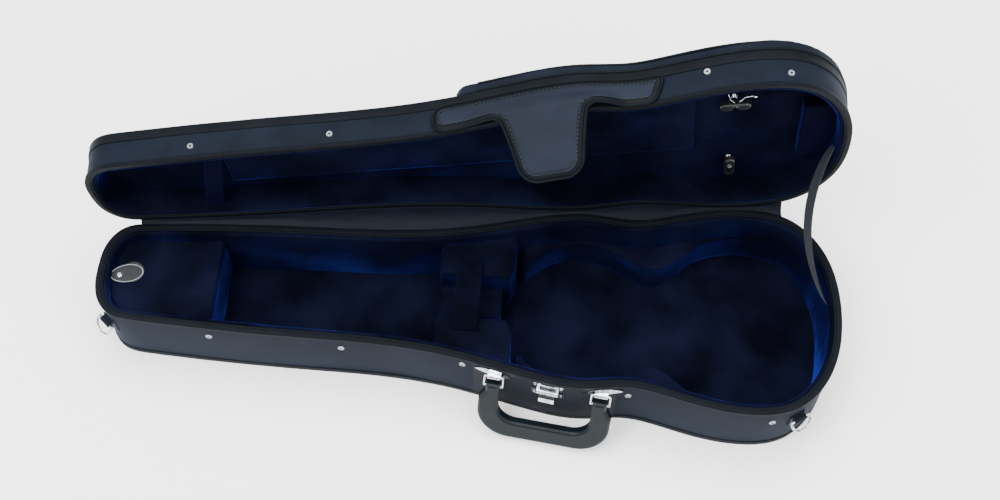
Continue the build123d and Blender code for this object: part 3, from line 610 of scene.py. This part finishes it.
bind_points = []
for k, (x, t) in enumerate(rim_flat):
    if k and np.linalg.norm(rim_flat[k] - rim_flat[k - 1]) < 0.15:
        continue
    place, out = flap_frame(x, t)
    bind_points.append((place + out * 1.1) * 0.001)
flap_binding = tube("flap_binding", bind_points, 0.0017, "binding_dark", None, closed=True, squash=0.8)
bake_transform(flap_binding)

# ---- Stitches along the flap's binding ----
loop_step = np.roll(rim_flat, -1, 0) - rim_flat
loop_run = np.concatenate([[0], np.cumsum(np.linalg.norm(loop_step, axis=1))])
rim_closed = np.vstack([rim_flat, rim_flat[:1]])
stitch_verts, stitch_faces = [], []
inset, pitch, stitch = 6.6, 4.2, 2.4
for s in np.arange(0, loop_run[-1], pitch):
    a, b = (np.array([np.interp(d % loop_run[-1], loop_run, rim_closed[:, 0]),
                      np.interp(d % loop_run[-1], loop_run, rim_closed[:, 1])]) for d in (s - 0.8, s + 0.8))
    way = (b - a) / max(np.linalg.norm(b - a), 1e-6)
    spot = (a + b) / 2 + np.array([-way[1], way[0]]) * inset
    if np.min(np.linalg.norm(rim_flat - spot, axis=1)) < inset - 0.4:
        continue
    corner = len(stitch_verts)
    for lift in (0.9, 1.9):
        for along_, across_ in ((-1, -1), (1, -1), (1, 1), (-1, 1)):
            q = spot + way * along_ * stitch / 2 + np.array([-way[1], way[0]]) * across_ * 0.35
            place, out = flap_frame(q[0], q[1])
            crown = 0.6 + 2.6 * (1 - math.exp(-inset / 3.0)) - 0.4
            stitch_verts.append((place + out * (crown + lift - 0.9)) * 0.001)
    for quad in ((0, 1, 2, 3), (4, 7, 6, 5), (0, 4, 5, 1), (1, 5, 6, 2), (2, 6, 7, 3), (3, 7, 4, 0)):
        stitch_faces.append(tuple(corner + k for k in quad))
stitches = fix_normals(mesh_object("flap_stitches", stitch_verts, stitch_faces, smooth=False))
dress(stitches, "thread")
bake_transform(stitches)

# ---- Hinge gusset: cloth from the base's rim to the lid's, folded along the hinge line ----
columns = 150
across = 14
gusset_points, gusset_faces = [], []
back_u = edge[RING // 2:, 0][::-1]
start_i, end_i = (RING - 1 - float(np.interp(u, back_u, np.arange(len(back_u)))) for u in (350, -374))
for c in range(columns + 1):
    q = ring_at(start_i + (end_i - start_i) * c / columns, 0.4)
    low_edge = base_point(q[0], q[1], base_height - 0.8) * 1000
    high_edge = lid_point(q[0], q[1], 0.8) * 1000
    fold = Vector(((low_edge.x + high_edge.x) / 2, min(low_edge.y + 60, hinge_y - 0.6), rim_z - 0.6))
    fold = fold.lerp((low_edge + high_edge) / 2, 0.28)
    for k in range(across + 1):
        f = k / across
        p = low_edge * (1 - f) ** 2 + fold * 2 * f * (1 - f) + high_edge * f ** 2
        wave = 0.5 * noise.noise(Vector((p.x / 22, f * 2.5, 4.2))) * math.sin(math.pi * f)
        gusset_points.append((p + Vector((0, wave, -wave))) * 0.001)
for c in range(columns):
    for k in range(across):
        a = c * (across + 1) + k
        gusset_faces.append((a, a + 1, a + across + 2, a + across + 1))
gusset = mesh_object("hinge_gusset", gusset_points, gusset_faces)
thick = gusset.modifiers.new("thickness", "SOLIDIFY")
thick.thickness, thick.offset = 0.0008, 0
gusset.data = bpy.data.meshes.new_from_object(gusset.evaluated_get(bpy.context.evaluated_depsgraph_get()))
gusset.modifiers.clear()
dress(gusset, "panel_cloth")
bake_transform(gusset)
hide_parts("hinge_web")

# ---- Lid stay: a slack webbing strap between base and lid ----
stay_recess = 15.2
ends = base_point(half - stay_recess, 17, 84.5), lid_point(half - stay_recess, 19, 9.5)
chord = ends[1] - ends[0]
bow = -0.023 * (base_point(1, 0, 0) - base_point(0, 0, 0)).normalized()
wide = chord.normalized().cross(bow.normalized()).normalized() * 0.006
strap_points, strap_faces = [], []
steps = 40
for i in range(steps + 1):
    f = i / steps
    p = ends[0] + chord * f + bow * math.sin(math.pi * f) ** 0.8 * 1.02
    twist = math.radians(48) * math.sin(math.pi * f) ** 0.5 * (0.35 + 0.65 * f)
    turn = Matrix.Rotation(twist, 3, chord.normalized())
    lift = bow.normalized() * 0.0007
    for s, l in ((-1, 0), (1, 0), (1, 1), (-1, 1)):
        strap_points.append(p + turn @ (wide * s + lift * (2 * l - 1)))
for i in range(steps):
    for k in range(4):
        m = (k + 1) % 4
        a, b = i * 4, (i + 1) * 4
        strap_faces.append((a + k, a + m, b + m, b + k))
strap_faces += [(0, 1, 2, 3), tuple(steps * 4 + k for k in (3, 2, 1, 0))]
strap = fix_normals(mesh_object("stay_webbing", strap_points, strap_faces))
strap.data.set_sharp_from_angle(angle=math.radians(40))
dress(strap, "webbing")
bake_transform(strap)
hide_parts("stay_strap")

# ---- Neck strap and bow loop: soft bands; the loop lies a little slanted in the lid ----
soften("neck_strap", "neck_strap_cloth", 0.0009, 3, 0.0003, "velvet")
soften("bow_loop", "bow_loop_cloth", 0.0009, 2, 0.0003, "dark_velvet", turned=13)

# ---- Studs: small and dull, with a dark disc in the middle as painted shade of a dimple ----
for node, place, body in (("base_studs", base_point, "base"), ("lid_studs", lid_point, "lid")):
    dress(nodes[node], "stud_metal")
    studs = bmesh.new()
    studs.from_mesh(nodes[node].data)
    studs.transform(nodes[node].matrix_world)
    waiting, number = set(studs.verts), 0
    while waiting:
        group, front_line = set(), [waiting.pop()]
        while front_line:
            v = front_line.pop()
            group.add(v)
            near = {e.other_vert(v) for e in v.link_edges} & waiting
            waiting -= near
            front_line += near
        c = sum((v.co for v in group), Vector()) / len(group) * 1000
        x, y = (c.x, c.y) if body == "base" else (c.x, rim_z + hinge_y - c.z)
        u, v = x * cos_t - y * sin_t, x * sin_t + y * cos_t
        k = int(np.argmin(np.hypot(edge[:, 0] - u, edge[:, 1] - v)))
        n = (place(u + outward[k][0], v + outward[k][1], 0) - place(u, v, 0)).normalized()
        top = max((p.co - c / 1000).dot(n) for p in group)
        # A flat dark disc on the stud's top: painted shade standing in for the dimple's hollow.
        painted_dimple_shade = bpy.data.meshes.new(f"{node}_dimple_{number}")
        disc = bmesh.new()
        bmesh.ops.create_cone(disc, cap_ends=True, segments=16, radius1=0.0014, radius2=0.0011, depth=0.0003)
        disc.to_mesh(painted_dimple_shade)
        disc.free()
        facing = n.to_track_quat("Z", "Y").to_matrix().to_4x4()
        painted_dimple_shade.transform(Matrix.Translation(c / 1000 + n * (top + 0.00005)) @ facing)
        piece = bpy.data.objects.new(f"{node}_dimple_{number}", painted_dimple_shade)
        bpy.context.scene.collection.objects.link(piece)
        dress(piece, "binding_dark")
        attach(piece, body)
        number += 1
    studs.free()

# ---- The upper bow spinner's bent wire arms ----
spin = Vector((283.477, 121.523, 273.351))
for name, way, radius in (
        ("bow_wire_left", [(-9, 1, 16), (-6, -1, 9), (-1, -3, 5), (3, -3, 5)], 0.45),
        ("bow_wire_right", [(1, -3, 4), (5, -3, 10), (9, -2, 15), (15, -2, 16), (20, -1, 15)], 0.6),
        ("bow_wire_bead", [(17.5, -2, 15.5), (19, -2, 15.5), (20.5, -2, 15.3)], 1.5)):
    tube(name, [(spin + Vector(p)) * 0.001 for p in way], radius * 0.001, "chrome", "lid")

# ---- Pull tab: dark leather with a pale turned edge ----
tab_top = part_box("accessory_pull_tab")[1].z * 1000
tab_u, tab_v, tab_narrow, tab_wide = -384.5, 1.5, 8.2, 12.3
tab_line = []
for k in range(64):
    a = 2 * math.pi * k / 64
    swell = 0.5 + 0.5 * math.cos(a)
    radius = tab_narrow + (tab_wide - tab_narrow) * swell ** 0.8
    tab_line.append(base_point(tab_u + 7.5 * math.cos(a) + radius * math.cos(a),
                               tab_v + 2.5 * math.cos(a) + radius * math.sin(a),
                               tab_top - 0.2))
tube("pull_tab_edge", tab_line, 0.0007, "pale_edge", "accessory_lid", closed=True, squash=0.7)

# ---- Floor and soft studio light ----
floor = mesh_object("floor", [(-6, -6, 0), (6, -6, 0), (6, 6, 0), (-6, 6, 0)], [(0, 1, 2, 3)], smooth=False)
floor.data.materials.append(material("floor", (0.95, 0.95, 0.95), 0.9))
floor_shader = floor.data.materials[0].node_tree.nodes["Principled BSDF"]
floor_shader.inputs["Emission Color"].default_value = (1, 1, 1, 1)
floor_shader.inputs["Emission Strength"].default_value = 0.15

world = bpy.data.worlds.new("world")
bpy.context.scene.world = world
world.use_nodes = True
sky = world.node_tree
where = sky.nodes.new("ShaderNodeTexCoord")
split = sky.nodes.new("ShaderNodeSeparateXYZ")
shade = sky.nodes.new("ShaderNodeValToRGB")
shade.color_ramp.elements[0].position, shade.color_ramp.elements[0].color = 0.0, (0.18, 0.19, 0.2, 1)
shade.color_ramp.elements[1].position, shade.color_ramp.elements[1].color = 0.62, (1, 1, 1, 1)
shade.color_ramp.elements.new(0.3).color = (0.3, 0.32, 0.34, 1)
sky.links.new(where.outputs["Generated"], split.inputs[0])
sky.links.new(split.outputs["Z"], shade.inputs["Fac"])
sky.links.new(shade.outputs["Color"], sky.nodes["Background"].inputs["Color"])
sky.nodes["Background"].inputs["Strength"].default_value = 2.3
for name, place, target, size, power in (
        ("key", (-1.2, -0.6, 2.6), (0, 0, 0.1), 1.6, 110), ("fill", (1.8, -1.6, 2.0), (0, 0, 0.1), 2.0, 48),
        ("top", (0.2, 0.9, 2.8), (0, 0.1, 0.1), 1.8, 105)):
    light = bpy.data.lights.new(name, "AREA")
    light.size, light.energy = size, power
    lamp = bpy.data.objects.new(name, light)
    bpy.context.scene.collection.objects.link(lamp)
    lamp.location = place
    lamp.rotation_euler = (Vector(target) - Vector(place)).to_track_quat("-Z", "Y").to_euler()
